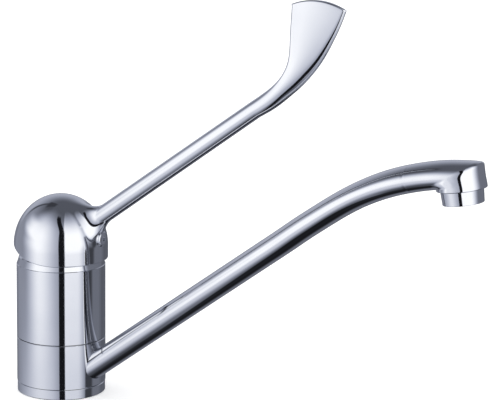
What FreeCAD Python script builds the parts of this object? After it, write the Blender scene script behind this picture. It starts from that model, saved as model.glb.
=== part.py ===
import FreeCAD, Part
import math
import os

import Sketcher

# Single-lever kitchen mixer tap with a long lever, millimetres.
# Origin: centre of the base underside, on the deck. +Z up, spout and lever along +X.

os.makedirs("parts", exist_ok=True)
doc = FreeCAD.newDocument("kitchen_mixer_tap")

# ---------------------------------------------------------------- dimensions
DIMS = [
    ("body_radius", 26.0, "outer radius of barrel and swivel collar"),
    ("base_radius", 25.75, "outer radius of the base ring"),
    ("base_height", 5.8, "base ring height"),
    ("edge_break", 0.3, "small chamfer on the turned edges"),
    ("collar_low", 6.1, "underside of the swivel collar"),
    ("collar_high", 32.45, "top of the swivel collar"),
    ("barrel_low", 32.75, "underside of the barrel"),
    ("barrel_high", 76.6, "top of the barrel"),
    ("spigot_radius", 16.5, "spigot inside the collar"),
    ("spigot_end_radius", 15.9, "lower end of the spigot, held by the base ring"),
    ("spigot_end_low", 0.5, "lower face of the spigot"),
    ("spigot_step", 4.9, "step the base ring is pulled against"),
    ("collar_bore", 16.6, "bore of the collar, running on the spigot"),
    ("chamber_low", 12.6, "water chamber between spigot and collar, lower edge"),
    ("chamber_high", 26.0, "water chamber, upper edge"),
    ("chamber_inner", 13.8, "spigot radius in the chamber"),
    ("chamber_outer", 20.0, "collar radius in the chamber"),
    ("ring_seat_radius", 22.0, "outer radius of the glide ring seats"),
    ("ring_inner", 16.7, "glide ring bore radius"),
    ("ring_outer", 21.8, "glide ring outer radius"),
    ("ring_thick", 1.1, "glide ring thickness"),
    ("seal_low", 9.5, "height of the lower collar seal"),
    ("seal_high", 29.2, "height of the upper collar seal"),
    ("seal_section", 1.0, "O-ring section radius"),
    ("seal_radius", 15.5, "O-ring centre radius"),
    ("groove_half", 1.1, "half width of an O-ring groove"),
    ("groove_radius", 14.45, "O-ring groove bottom radius"),
    ("cavity_radius", 20.15, "cartridge cavity radius"),
    ("cavity_floor", 53.6, "cartridge seat height"),
    ("nut_seat", 69.5, "lower end of the nut thread in the barrel"),
    ("nut_bore_radius", 21.8, "nut thread radius in the barrel"),
    ("inlet_x", 4.9, "inlet position along X"),
    ("inlet_y", 6.4, "inlet position along Y"),
    ("inlet_thread_radius", 4.5, "M10x1 inlet thread, core radius"),
    ("inlet_thread_length", 11.5, "inlet thread length"),
    ("inlet_duct_radius", 3.2, "inlet duct radius"),
    ("stud_x", 9.2, "stud hole distance behind the centre"),
    ("stud_radius", 3.4, "M8 stud thread, core radius"),
    ("stud_length", 11.7, "stud thread length"),
    ("outlet_x", 8.5, "outlet duct distance behind the centre"),
    ("outlet_radius", 3.5, "outlet duct radius"),
    ("outlet_port_z", 19.3, "height of the port into the chamber"),
    ("peg_y", 15.0, "locating peg distance"),
    ("peg_radius", 1.5, "locating peg radius"),
    ("nut_radius", 21.7, "cartridge nut thread radius"),
    ("nut_low", 70.0, "lower face of the nut"),
    ("nut_high", 79.0, "top of the nut thread"),
    ("nut_hex_high", 81.3, "top of the nut hexagon"),
    ("nut_hex_radius", 20.8, "corner radius of the hexagon"),
    ("neck_radius", 14.0, "cartridge neck radius"),
    ("neck_high", 83.0, "top of the cartridge neck"),
    ("rotor_radius", 12.5, "rotor barrel radius"),
    ("rotor_high", 84.5, "top of the rotor"),
    ("rotor_bore", 12.6, "bore for the rotor in the housing"),
    ("pivot_z", 80.5, "height of the lever pivot"),
    ("pin_radius", 1.5, "pivot pin radius"),
    ("ball_z", 68.5, "height of the stem ball"),
    ("ball_radius", 3.0, "stem ball radius"),
    ("disc_rest_x", 2.6, "how far behind the centre the moving disc rests"),
    ("disc_low", 58.0, "underside of the fixed disc"),
    ("disc_thick", 3.0, "thickness of the fixed disc"),
    ("dome_radius", 27.75, "outer radius of the dome"),
    ("dome_z", 89.2, "height of the centre of the dome"),
    ("dome_inner", 26.15, "inner radius of the dome"),
    ("skirt_low", 79.9, "lower edge of the dome at the front"),
    ("relief_x", 12.0, "where the rear relief of the skirt starts"),
    ("relief_radius", 79.0, "radius of the rear relief"),
    ("screw_z", 94.1, "height of the grub screw axis"),
    ("screw_radius", 3.0, "M6 grub screw radius"),
    ("plug_radius", 4.6, "indicator plug radius"),
    ("plug_front", 29.7, "front of the indicator plug"),
    ("arm_z", 87.4, "height where the lever axis meets the body axis"),
    ("arm_angle", 35.9, "rise of the lever"),
    ("arm_root_radius", 5.25, "lever rod radius at the dome"),
    ("arm_end_radius", 5.0, "lever rod radius at the blade"),
    ("arm_blend", 25.0, "radius of the blend between dome and rod"),
    ("blade_half", 2.2, "half thickness of the blade"),
    ("spout_slope", 36.0, "rise of the straight run of the spout"),
    ("spout_root_width", 10.5, "spout half width at the collar"),
    ("spout_root_height", 7.25, "spout half height at the collar"),
    ("spout_wall", 2.2, "spout wall thickness"),
    ("head_x", 256.6, "centre of the outlet rim along X"),
    ("head_z", 150.1, "centre of the outlet rim along Z"),
    ("head_tilt", 8.5, "outward tilt of the outlet"),
    ("head_radius", 14.0, "outlet head radius"),
    ("aerator_top_radius", 11.95, "aerator ring radius under the head"),
    ("aerator_low_radius", 11.5, "aerator ring radius at its mouth"),
    ("aerator_drop", 7.8, "how far the aerator ring stands out of the head"),
    ("thread_core", 11.5, "M24x1 thread core radius in the head"),
]
sheet = doc.addObject("Spreadsheet::Sheet", "dims")
for row, (alias, value, note) in enumerate(DIMS, start=1):
    sheet.set("A%d" % row, alias)
    sheet.set("B%d" % row, str(value))
    sheet.setAlias("B%d" % row, alias)
    sheet.set("C%d" % row, note)
doc.recompute()


class Ref:
    """A length that knows both its expression in the sheet and its value."""

    def __init__(self, text, value):
        self.text = text
        self.value = value

    def _other(self, other):
        if isinstance(other, Ref):
            return other
        return Ref("(%r)" % float(other), float(other))

    def __add__(self, other):
        o = self._other(other)
        return Ref("(%s + %s)" % (self.text, o.text), self.value + o.value)

    def __sub__(self, other):
        o = self._other(other)
        return Ref("(%s - %s)" % (self.text, o.text), self.value - o.value)

    def __mul__(self, other):
        o = self._other(other)
        return Ref("(%s * %s)" % (self.text, o.text), self.value * o.value)

    def __neg__(self):
        return Ref("(0 - %s)" % self.text, -self.value)


class Sizes:
    def __getattr__(self, alias):
        return Ref("dims.%s" % alias, float(sheet.get(alias)))


d = Sizes()


def num(x):
    return x.value if isinstance(x, Ref) else float(x)


def bind(obj, prop, x):
    if isinstance(x, Ref):
        obj.setExpression(prop, x.text)
    else:
        obj.setExpression(prop, repr(float(x)))


NODES = {}


def node(obj, name):
    obj.Label = name
    NODES[name] = obj
    return obj


def plane_of(body, role):
    for feature in body.Origin.OriginFeatures:
        if feature.Role == role:
            return feature
    raise RuntimeError("no plane " + role)


def place(obj, x=0.0, y=0.0, z=0.0, axis=(0, 0, 1), angle=0.0):
    obj.Placement = FreeCAD.Placement(
        FreeCAD.Vector(num(x), num(y), num(z)),
        FreeCAD.Rotation(FreeCAD.Vector(*axis), num(angle)))
    bind(obj, "Placement.Base.x", x)
    bind(obj, "Placement.Base.y", y)
    bind(obj, "Placement.Base.z", z)
    if isinstance(angle, Ref):
        bind(obj, "Placement.Rotation.Angle", angle)
    return obj


def turned(name, points):
    """A body turned about Z from a closed profile of (radius, height) points."""
    body = doc.addObject("PartDesign::Body", name + "_body")
    sketch = body.newObject("Sketcher::SketchObject", name + "_profile")
    sketch.AttachmentSupport = [(plane_of(body, "XZ_Plane"), "")]
    sketch.MapMode = "FlatFace"
    n = len(points)
    for i in range(n):
        a, b = points[i], points[(i + 1) % n]
        sketch.addGeometry(Part.LineSegment(
            FreeCAD.Vector(num(a[0]), num(a[1]), 0),
            FreeCAD.Vector(num(b[0]), num(b[1]), 0)), False)
    for i in range(n):
        sketch.addConstraint(Sketcher.Constraint("Coincident", i, 2, (i + 1) % n, 1))
    for i, (r, z) in enumerate(points):
        if abs(num(r)) < 1e-9:
            sketch.addConstraint(Sketcher.Constraint("PointOnObject", i, 1, -2))
        else:
            k = sketch.addConstraint(Sketcher.Constraint("DistanceX", -1, 1, i, 1, num(r)))
            bind(sketch, "Constraints[%d]" % k, r)
        if abs(num(z)) < 1e-9:
            sketch.addConstraint(Sketcher.Constraint("PointOnObject", i, 1, -1))
        else:
            k = sketch.addConstraint(Sketcher.Constraint("DistanceY", -1, 1, i, 1, num(z)))
            bind(sketch, "Constraints[%d]" % k, z)
    rev = body.newObject("PartDesign::Revolution", name + "_turned")
    rev.Profile = sketch
    rev.ReferenceAxis = (sketch, ["V_Axis"])
    rev.Angle = 360.0
    sketch.Visibility = False
    return body


def cylinder(name, radius, height, x=0.0, y=0.0, z=0.0, axis=(0, 0, 1), angle=0.0):
    c = doc.addObject("Part::Cylinder", name)
    bind(c, "Radius", radius)
    bind(c, "Height", height)
    return place(c, x, y, z, axis, angle)


def box(name, lx, ly, lz, x, y, z, axis=(0, 0, 1), angle=0.0):
    b = doc.addObject("Part::Box", name)
    bind(b, "Length", lx)
    bind(b, "Width", ly)
    bind(b, "Height", lz)
    return place(b, x, y, z, axis, angle)


def fuse(name, shapes):
    f = doc.addObject("Part::MultiFuse", name)
    f.Shapes = shapes
    return f


def cut(name, base, tools):
    tool = tools[0] if len(tools) == 1 else fuse(name + "_tools", tools)
    c = doc.addObject("Part::Cut", name)
    c.Base = base
    c.Tool = tool
    return c


def common(name, shapes):
    c = doc.addObject("Part::MultiCommon", name)
    c.Shapes = shapes
    return c


# ---------------------------------------------------------------- base ring, its gasket and the glide rings
node(turned("base_ring", [
    (d.spigot_end_radius + 0.1, 0), (20.5, 0), (20.5, 1.5), (23.5, 1.5), (23.5, 0),
    (d.base_radius - d.edge_break, 0), (d.base_radius, d.edge_break),
    (d.base_radius, d.base_height - d.edge_break),
    (d.base_radius - d.edge_break, d.base_height),
    (d.ring_seat_radius, d.base_height), (d.ring_seat_radius, d.spigot_step),
    (d.spigot_end_radius + 0.1, d.spigot_step)]), "base_ring")
node(turned("base_gasket", [(20.6, 0), (23.4, 0), (23.4, 1.5), (20.6, 1.5)]), "base_gasket")
node(turned("glide_ring_lower", [
    (d.ring_inner, d.spigot_step), (d.ring_outer, d.spigot_step),
    (d.ring_outer, d.spigot_step + d.ring_thick),
    (d.ring_inner, d.spigot_step + d.ring_thick)]), "glide_ring_lower")
node(turned("glide_ring_upper", [
    (d.ring_inner, d.barrel_low + 0.9 - d.ring_thick), (d.ring_outer, d.barrel_low + 0.9 - d.ring_thick),
    (d.ring_outer, d.barrel_low + 0.9), (d.ring_inner, d.barrel_low + 0.9)]), "glide_ring_upper")

# ---------------------------------------------------------------- body casting: spigot below, barrel above
body_blank = turned("mixer_body", [
    (0, d.spigot_end_low), (d.spigot_end_radius, d.spigot_end_low),
    (d.spigot_end_radius, d.spigot_step), (d.spigot_radius, d.spigot_step),
    (d.spigot_radius, d.seal_low - d.groove_half), (d.groove_radius, d.seal_low - d.groove_half),
    (d.groove_radius, d.seal_low + d.groove_half), (d.spigot_radius, d.seal_low + d.groove_half),
    (d.spigot_radius, d.chamber_low), (d.chamber_inner, d.chamber_low),
    (d.chamber_inner, d.chamber_high), (d.spigot_radius, d.chamber_high),
    (d.spigot_radius, d.seal_high - d.groove_half), (d.groove_radius, d.seal_high - d.groove_half),
    (d.groove_radius, d.seal_high + d.groove_half), (d.spigot_radius, d.seal_high + d.groove_half),
    (d.spigot_radius, d.barrel_low + 0.9), (d.ring_seat_radius, d.barrel_low + 0.9),
    (d.ring_seat_radius, d.barrel_low), (d.body_radius - d.edge_break, d.barrel_low),
    (d.body_radius, d.barrel_low + d.edge_break), (d.body_radius, d.barrel_high - d.edge_break),
    (d.body_radius - d.edge_break, d.barrel_high), (d.nut_bore_radius, d.barrel_high),
    (d.nut_bore_radius, d.nut_seat), (d.cavity_radius, d.nut_seat),
    (d.cavity_radius, d.cavity_floor), (0, d.cavity_floor)])
body_holes = []
for tag, sign in (("cold", 1.0), ("hot", -1.0)):
    yy = d.inlet_y * sign
    body_holes.append(cylinder("inlet_thread_" + tag, d.inlet_thread_radius, d.inlet_thread_length + 1.0,
                               d.inlet_x, yy, d.spigot_end_low - 1.0))
    body_holes.append(cylinder("inlet_duct_" + tag, d.inlet_duct_radius, d.cavity_floor,
                               d.inlet_x, yy, 1.0))
    body_holes.append(cylinder("peg_hole_" + tag, d.peg_radius + 0.1, 3.0,
                               0.0, d.peg_y * sign, d.cavity_floor - 2.5))
body_holes.append(cylinder("stud_hole", d.stud_radius, d.stud_length + 1.0,
                           -d.stud_x, 0.0, d.spigot_end_low - 1.0))
body_holes.append(cylinder("outlet_duct", d.outlet_radius, d.cavity_floor - 15.0,
                           -d.outlet_x, 0.0, 16.0))
body_holes.append(cylinder("outlet_port", d.outlet_radius, 9.0,
                           -d.outlet_x, 0.0, d.outlet_port_z, (0, 1, 0), -90.0))
node(cut("mixer_body_part", body_blank, body_holes), "mixer_body")

# ---------------------------------------------------------------- collar seals
for name, height in (("o_ring_lower", d.seal_low), ("o_ring_upper", d.seal_high)):
    ring = doc.addObject("Part::Torus", name + "_torus")
    bind(ring, "Radius1", d.seal_radius)
    bind(ring, "Radius2", d.seal_section)
    place(ring, 0.0, 0.0, height)
    node(ring, name)

# ---------------------------------------------------------------- swivel collar with its water chamber
collar_blank = turned("spout_collar", [
    (d.collar_bore, d.collar_low), (d.body_radius - d.edge_break, d.collar_low),
    (d.body_radius, d.collar_low + d.edge_break), (d.body_radius, d.collar_high - d.edge_break),
    (d.body_radius - d.edge_break, d.collar_high), (d.collar_bore, d.collar_high),
    (d.collar_bore, d.chamber_high), (d.chamber_outer, d.chamber_high),
    (d.chamber_outer, d.chamber_low), (d.collar_bore, d.chamber_low)])

# ---------------------------------------------------------------- spout: oval tube, straight and then bent over
slope = math.tan(math.radians(d.spout_slope.value))
ROOT = (36.0, 26.4)


def straight(x):
    return (x, ROOT[1] + slope * (x - ROOT[0]))


# centre line (x, z) with half width across and half height of the oval
WIDE = d.spout_root_width.value
TALL = d.spout_root_height.value
SPOUT = [straight(16.0 + 11.0 * i) + (WIDE + 0.4 * (i / 12.0) ** 3, TALL) for i in range(13)]
SPOUT += [(160.0, 116.7, WIDE + 0.65, 7.22), (171.0, 124.45, WIDE + 0.9, 7.2), (182.0, 131.95, WIDE + 1.15, 7.2),
          (193.0, 138.65, WIDE + 1.45, 7.25), (204.0, 144.25, WIDE + 1.7, 7.42),
          (215.0, 148.8, WIDE + 1.95, 7.6), (226.0, 152.35, WIDE + 2.2, 7.72),
          (237.0, 155.1, WIDE + 2.35, 7.8), (248.0, 157.05, WIDE + 2.5, 7.85),
          (259.0, 158.1, WIDE + 2.5, 7.85)]


def tangents(points):
    out = []
    for i in range(len(points)):
        a = points[max(i - 1, 0)]
        b = points[min(i + 1, len(points) - 1)]
        v = FreeCAD.Vector(b[0] - a[0], 0, b[1] - a[1])
        v.normalize()
        out.append(v)
    return out


def oval(centre, direction, half_across, half_high):
    """Closed oval wire: half_across along Y, half_high in the XZ plane, normal to direction."""
    up = FreeCAD.Vector(-direction.z, 0, direction.x)
    side = FreeCAD.Vector(0, 1, 0)
    c = FreeCAD.Vector(centre[0], 0, centre[1])
    major, minor, rmaj, rmin = side, up, half_across, half_high
    if half_high > half_across + 1e-6:
        major, minor, rmaj, rmin = up, side, half_high, half_across
    if abs(rmaj - rmin) < 1e-6:
        rmaj = rmin + 1e-4
    e = Part.Ellipse(c + major * rmaj, c + minor * rmin, c)
    return Part.Wire([e.toShape()])


def rounded(centre, direction, half_across, half_high, corner):
    """Closed rounded rectangle: half_across along Y, half_high in the XZ plane."""
    up = FreeCAD.Vector(-direction.z, 0, direction.x)
    side = FreeCAD.Vector(0, 1, 0)
    c = FreeCAD.Vector(centre[0], 0, centre[1])
    a, b, k = half_across, half_high, corner * (1.0 - math.sqrt(0.5))

    def p(u, v):
        return c + side * u + up * v

    parts = []
    for su, sv in ((1, 1), (-1, 1), (-1, -1), (1, -1)):
        ends = [p(su * a, sv * (b - corner)), p(su * (a - k), sv * (b - k)), p(su * (a - corner), sv * b)]
        if su * sv < 0:
            ends.reverse()
        parts.append(ends)
    lines = []
    for i in range(4):
        arc_here, arc_next = parts[i], parts[(i + 1) % 4]
        lines.append(Part.Arc(*arc_here).toShape())
        lines.append(Part.LineSegment(arc_here[2], arc_next[0]).toShape())
    return Part.Wire(lines)


def oval_loft(rows, shrink=0.0):
    wires = []
    for row, t in zip(rows, tangents(rows)):
        wires.append(oval(row, t, row[2] - shrink, row[3] - shrink))
    return Part.makeLoft(wires, True, False)


# the tube end is let into an oval socket in the wall of the collar
socket = oval_loft(SPOUT[:2], 1.2).cut(Part.makeCylinder(d.chamber_outer.value, 80.0, FreeCAD.Vector(0, 0, -20)))
socket_shape = doc.addObject("Part::Feature", "collar_socket")
socket_shape.Shape = socket
node(cut("spout_collar_part", collar_blank, [socket_shape]), "spout_collar")

tilt = math.radians(d.head_tilt.value)
head_axis = FreeCAD.Vector(-math.sin(tilt), 0, math.cos(tilt))
rim = FreeCAD.Vector(d.head_x.value, 0, d.head_z.value)
outer = oval_loft(SPOUT)
head = Part.makeCylinder(d.head_radius.value, 24.0, rim, head_axis)
crown = oval_loft([(237.0, 155.05, 14.6, 7.85), (248.0, 157.05, 14.6, 7.9), (257.0, 158.0, 14.6, 7.9),
                   (264.0, 158.1, 14.6, 7.9), (271.0, 157.8, 14.6, 7.9), (280.0, 157.0, 14.6, 7.9)])
under = Part.makeBox(60.0, 60.0, 60.0, FreeCAD.Vector(234.0, -30.0, 98.4))
head = head.common(crown.fuse(under))
solid = outer.fuse(head)
solid = solid.cut(Part.makeCylinder(d.body_radius.value, 80.0, FreeCAD.Vector(0, 0, -20)))
tail = oval_loft(SPOUT[:2], 1.25).cut(Part.makeCylinder(d.chamber_outer.value + 0.3, 80.0, FreeCAD.Vector(0, 0, -20)))
solid = solid.fuse(tail)
inner = oval_loft([straight(14.0) + (WIDE, TALL)] + SPOUT[1:22], d.spout_wall.value)
bore = Part.makeCylinder(d.thread_core.value, 8.5, rim, head_axis)
throat = Part.makeCylinder(9.4, 12.6, rim, head_axis)
solid = solid.cut(inner).cut(bore).cut(throat).removeSplitter()
arm = doc.addObject("Part::Feature", "spout_arm_shape")
arm.Shape = max(solid.Solids, key=lambda s: s.Volume)
node(arm, "spout_arm")


def at_outlet(obj):
    """Put an object built about Z with the rim at zero onto the tilted outlet."""
    return place(obj, d.head_x, 0.0, d.head_z, (0, 1, 0), -d.head_tilt)


aerator = turned("aerator_housing", [
    (9.6, -(d.aerator_drop - 1.0)), (9.1, -(d.aerator_drop - 1.0)), (9.1, -d.aerator_drop),
    (d.aerator_low_radius - 0.2, -d.aerator_drop), (d.aerator_low_radius, -(d.aerator_drop - 0.2)),
    (d.aerator_top_radius, -0.35), (d.aerator_top_radius - 0.25, -0.1),
    (d.thread_core - 0.1, -0.1), (d.thread_core - 0.1, 6.4), (9.6, 6.4)])
node(at_outlet(aerator), "aerator_housing")
node(at_outlet(turned("aerator_gasket", [(9.45, 6.5), (11.3, 6.5), (11.3, 8.45), (9.45, 8.45)])),
     "aerator_gasket")


def hex_grid(pitch, reach):
    spots = []
    steps = int(reach / pitch) + 2
    for i in range(-steps, steps + 1):
        for j in range(-steps, steps + 1):
            x = pitch * (i + 0.5 * j)
            y = pitch * math.sqrt(3) / 2 * j
            if math.hypot(x, y) <= reach:
                spots.append((x, y))
    return spots


def perforated(name, radius, low, thick, pitch, reach, hole):
    """A round plate with a honeycomb of holes, built on the outlet axis."""
    plate = Part.makeCylinder(radius, thick, FreeCAD.Vector(0, 0, low))
    tools = [Part.makeCylinder(hole, thick + 2.0, FreeCAD.Vector(x, y, low - 1.0))
             for x, y in hex_grid(pitch, reach)]
    f = doc.addObject("Part::Feature", name + "_shape")
    f.Shape = plate.cut(Part.Compound(tools))
    return node(at_outlet(f), name)


perforated("aerator_screen", 9.4, -6.75, 0.8, 2.1, 8.2, 0.8)
perforated("aerator_insert", 9.4, -2.0, 7.5, 4.2, 6.5, 1.4)

# ---------------------------------------------------------------- cartridge, fixed pieces
base_blank = cylinder("cartridge_base_disc", 19.9, 4.0, 0.0, 0.0, d.cavity_floor + 0.4)
pegs = [cylinder("peg_" + tag, d.peg_radius, 3.0, 0.0, d.peg_y * sign, d.cavity_floor - 2.2)
        for tag, sign in (("a", 1.0), ("b", -1.0))]
base_holes = []
for tag, sign in (("a", 1.0), ("b", -1.0)):
    base_holes.append(cylinder("base_inlet_" + tag, d.inlet_duct_radius, 6.0,
                               d.inlet_x, d.inlet_y * sign, d.cavity_floor))
    base_holes.append(cylinder("base_inlet_seat_" + tag, 5.0, 1.6,
                               d.inlet_x, d.inlet_y * sign, d.cavity_floor))
base_holes.append(cylinder("base_outlet", d.outlet_radius, 6.0, -d.outlet_x, 0.0, d.cavity_floor))
base_holes.append(cylinder("base_outlet_seat", 5.2, 1.6, -d.outlet_x, 0.0, d.cavity_floor))
node(cut("cartridge_base_part", fuse("cartridge_base_blank", [base_blank] + pegs), base_holes),
     "cartridge_base")


def washer(name, inner_r, outer_r, thick, x, y, z):
    return cut(name + "_ring", cylinder(name + "_out", outer_r, thick, x, y, z),
               [cylinder(name + "_in", inner_r, thick + 2.0, x, y, z - 1.0)])


node(fuse("inlet_seal_pair", [
    washer("inlet_seal_a", 3.3, 4.9, 1.6, d.inlet_x, d.inlet_y, d.cavity_floor),
    washer("inlet_seal_b", 3.3, 4.9, 1.6, d.inlet_x, -d.inlet_y, d.cavity_floor)]), "inlet_seals")
node(washer("outlet_seal_one", 3.6, 5.1, 1.6, -d.outlet_x, 0.0, d.cavity_floor), "outlet_seal")

fixed_blank = cylinder("fixed_disc_blank", 16.5, d.disc_thick, 0.0, 0.0, d.disc_low)
node(cut("fixed_disc_part", fixed_blank, [
    cylinder("fixed_port_a", 2.8, 5.0, d.inlet_x, d.inlet_y, d.disc_low - 1.0),
    cylinder("fixed_port_b", 2.8, 5.0, d.inlet_x, -d.inlet_y, d.disc_low - 1.0),
    cylinder("fixed_port_out", 3.5, 5.0, -d.outlet_x, 0.0, d.disc_low - 1.0)]), "fixed_ceramic_disc")

node(turned("cartridge_housing", [
    (16.9, 58.0), (20.0, 58.0), (20.0, d.nut_low), (17.95, d.nut_low), (17.95, 74.7),
    (d.neck_radius, 74.7), (d.neck_radius, d.neck_high), (d.rotor_bore, d.neck_high),
    (d.rotor_bore, 72.2), (16.9, 72.2)]), "cartridge_housing")

# clamping nut: threaded skirt with a hexagon on top
nut_skirt = turned("cartridge_nut", [
    (18.1, d.nut_low), (d.nut_radius, d.nut_low), (d.nut_radius, d.nut_high),
    (14.5, d.nut_high), (14.5, 74.7), (18.1, 74.7)])
hexagon = doc.addObject("Part::Prism", "nut_hexagon")
hexagon.Polygon = 6
bind(hexagon, "Circumradius", d.nut_hex_radius)
bind(hexagon, "Height", d.nut_hex_high - d.nut_high + 0.5)
place(hexagon, 0.0, 0.0, d.nut_high - 0.5)
nut_top = cut("nut_hexagon_ring", hexagon, [cylinder("nut_bore", 14.5, 12.0, 0.0, 0.0, 74.7)])
node(fuse("cartridge_nut_part", [nut_skirt, nut_top]), "cartridge_nut")

node(turned("cover_ring", [
    (21.9, d.barrel_high), (d.base_radius, d.barrel_high), (24.6, 80.5), (23.9, 81.2), (21.9, 81.2)]),
    "cover_ring")

# hot limit ring round the top of the neck, with a stop lug
limit_ring = turned("hot_limit_ring", [
    (d.neck_radius, d.nut_hex_high), (17.0, d.nut_hex_high), (17.0, 83.3), (d.neck_radius, 83.3)])
node(cut("hot_limit_part", limit_ring, [box("limit_gap", 7.0, 3.0, 4.0, -18.0, -1.5, 81.0)]),
     "hot_limit_ring")

# ---------------------------------------------------------------- cartridge, turning pieces
rotor_blank = turned("rotor", [
    (0, 70.4), (16.6, 70.4), (16.6, 71.9), (d.rotor_radius, 71.9),
    (d.rotor_radius, d.rotor_high), (0, d.rotor_high)])
tabs = [box("rotor_tab_a", 12.0, 1.6, 4.6, -6.0, 10.2, 66.0),
        box("rotor_tab_b", 12.0, 1.6, 4.6, -6.0, -11.8, 66.0)]
pin_hole = cylinder("rotor_pin_hole", d.pin_radius, 30.0, 0.0, 15.0, d.pivot_z, (1, 0, 0), 90.0)
slot = box("rotor_slot", 16.2, 8.7, 30.0, -7.0, -4.35, 60.0)
node(cut("rotor_part", fuse("rotor_with_tabs", [rotor_blank] + tabs), [slot, pin_hole]), "rotor")
node(cylinder("pivot_pin_rod", d.pin_radius, 22.0, 0.0, 11.0, d.pivot_z, (1, 0, 0), 90.0), "pivot_pin")

# ---------------------------------------------------------------- sliding ceramic disc and its carrier
moving_blank = cylinder("moving_disc_blank", 12.8, 2.95, -d.disc_rest_x, 0.0, d.disc_low + d.disc_thick + 0.05)
pocket = common("mixing_pocket", [
    cylinder("pocket_round", 10.8, 2.85, -d.disc_rest_x, 0.0, 60.05),
    box("pocket_sides", 15.2, 16.0, 2.85, -13.4, -8.0, 60.05)])
node(cut("moving_disc_part", moving_blank, [pocket]), "moving_ceramic_disc")
carrier_disc = cylinder("carrier_disc", 13.2, 6.0, -d.disc_rest_x, 0.0, 64.0)
carrier_flats = box("carrier_flats", 40.0, 19.7, 10.0, -22.6, -9.85, 62.0)
carrier_blank = common("carrier_blank", [carrier_disc, carrier_flats])
node(cut("carrier_part", carrier_blank, [
    cylinder("ball_socket", d.ball_radius + 0.4, 6.0, 0.0, 0.0, 65.1)]), "disc_carrier")

# ---------------------------------------------------------------- lever: stem, handle, grub screw, plug
ball = doc.addObject("Part::Sphere", "stem_ball")
bind(ball, "Radius", d.ball_radius)
place(ball, 0.0, 0.0, d.ball_z)
stem_blank = fuse("stem_blank", [
    ball, cylinder("stem_neck", 2.3, 6.0, 0.0, 0.0, d.ball_z),
    box("stem_bar", 7.0, 8.0, 15.5, -3.5, -4.0, 72.5),
    box("stem_square", 8.0, 8.0, 14.0, -4.0, -4.0, 87.0)])
node(cut("stem_part", stem_blank, [
    cylinder("stem_pin_hole", d.pin_radius + 0.05, 20.0, 0.0, 10.0, d.pivot_z, (1, 0, 0), 90.0)]), "stem")

skirt = cylinder("dome_skirt", d.dome_radius - 0.02, d.dome_z - d.skirt_low, 0.0, 0.0, d.skirt_low)
hollow_ball = doc.addObject("Part::Sphere", "dome_inside")
bind(hollow_ball, "Radius", d.dome_inner)
place(hollow_ball, 0.0, 0.0, d.dome_z)
hollow_skirt = cylinder("dome_skirt_inside", d.dome_inner, d.dome_z - 70.0, 0.0, 0.0, 70.0)

# arm: a round rod that flares into the dome, then flattens into an upright blade
up_angle = math.radians(d.arm_angle.value)
arm_dir = FreeCAD.Vector(math.cos(up_angle), 0, math.sin(up_angle))
arm_up = FreeCAD.Vector(-math.sin(up_angle), 0, math.cos(up_angle))
arm_base = FreeCAD.Vector(0, 0, d.arm_z.value)


def arm_point(s, n):
    return arm_base + arm_dir * s + arm_up * n


end_s = 160.0
ball = Part.makeSphere(d.dome_radius.value)
ball.rotate(FreeCAD.Vector(0, 0, 0), FreeCAD.Vector(0, 0, 1), 180.0)
ball.translate(FreeCAD.Vector(0, 0, d.dome_z.value))
rod = Part.makeCone(d.arm_root_radius.value, d.arm_end_radius.value, end_s - 12.0, arm_point(12.0, 0.0), arm_dir)
outside = ball.fuse(rod)
root_edges = [e for e in outside.Edges
              if 10.0 < e.Length < 45.0 and e.BoundBox.XMin > 10.0 and e.BoundBox.XMax < 40.0]
outside = outside.makeFillet(d.arm_blend.value, root_edges)
outside_shape = doc.addObject("Part::Feature", "dome_and_rod")
outside_shape.Shape = outside

start = arm_point(end_s - 0.5, 0.0)
HALF = d.blade_half.value
# centre line (x, z) of the blade, half thickness across, half width in the plane, edge radius
BLADE = [(start.x, start.z, 4.8, 4.8, 4.7), (139.29, 187.76, 4.7, 5.2, 4.5), (146.13, 193.6, 4.0, 5.4, 3.6),
         (151.57, 199.39, 3.3, 6.2, 2.7), (156.57, 206.83, 2.8, 7.82, 2.1), (160.65, 216.26, 2.5, 10.53, 1.8),
         (163.81, 227.1, HALF + 0.1, 13.23, 1.7), (166.92, 239.11, HALF, 15.65, 1.6), (169.14, 251.13, HALF, 17.78, 1.6)]
blade = Part.makeLoft([rounded(r, t, r[2], r[3], r[4]) for r, t in zip(BLADE, tangents(BLADE))], True, False)
arc = Part.Arc(FreeCAD.Vector(146.0, -20, 239.3), FreeCAD.Vector(166.5, -20, 245.3),
               FreeCAD.Vector(187.0, -20, 239.3)).toShape()
low = [FreeCAD.Vector(187.0, -20, 239.3), FreeCAD.Vector(187.0, -20, 150.0),
       FreeCAD.Vector(110.0, -20, 150.0), FreeCAD.Vector(110.0, -20, 239.3), FreeCAD.Vector(146.0, -20, 239.3)]
keep = Part.Face(Part.Wire([arc] + [Part.LineSegment(low[i], low[i + 1]).toShape() for i in range(4)]))
keep = keep.extrude(FreeCAD.Vector(0, 40, 0))
blade = blade.common(keep)


def top_edges(shape):
    """Edges that bound the curved end of the blade."""
    face = max(shape.Faces, key=lambda f: f.CenterOfMass.z)
    return face.Edges


blade = blade.makeFillet(1.2, top_edges(blade))
blade_shape = doc.addObject("Part::Feature", "lever_blade")
blade_shape.Shape = blade

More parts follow.
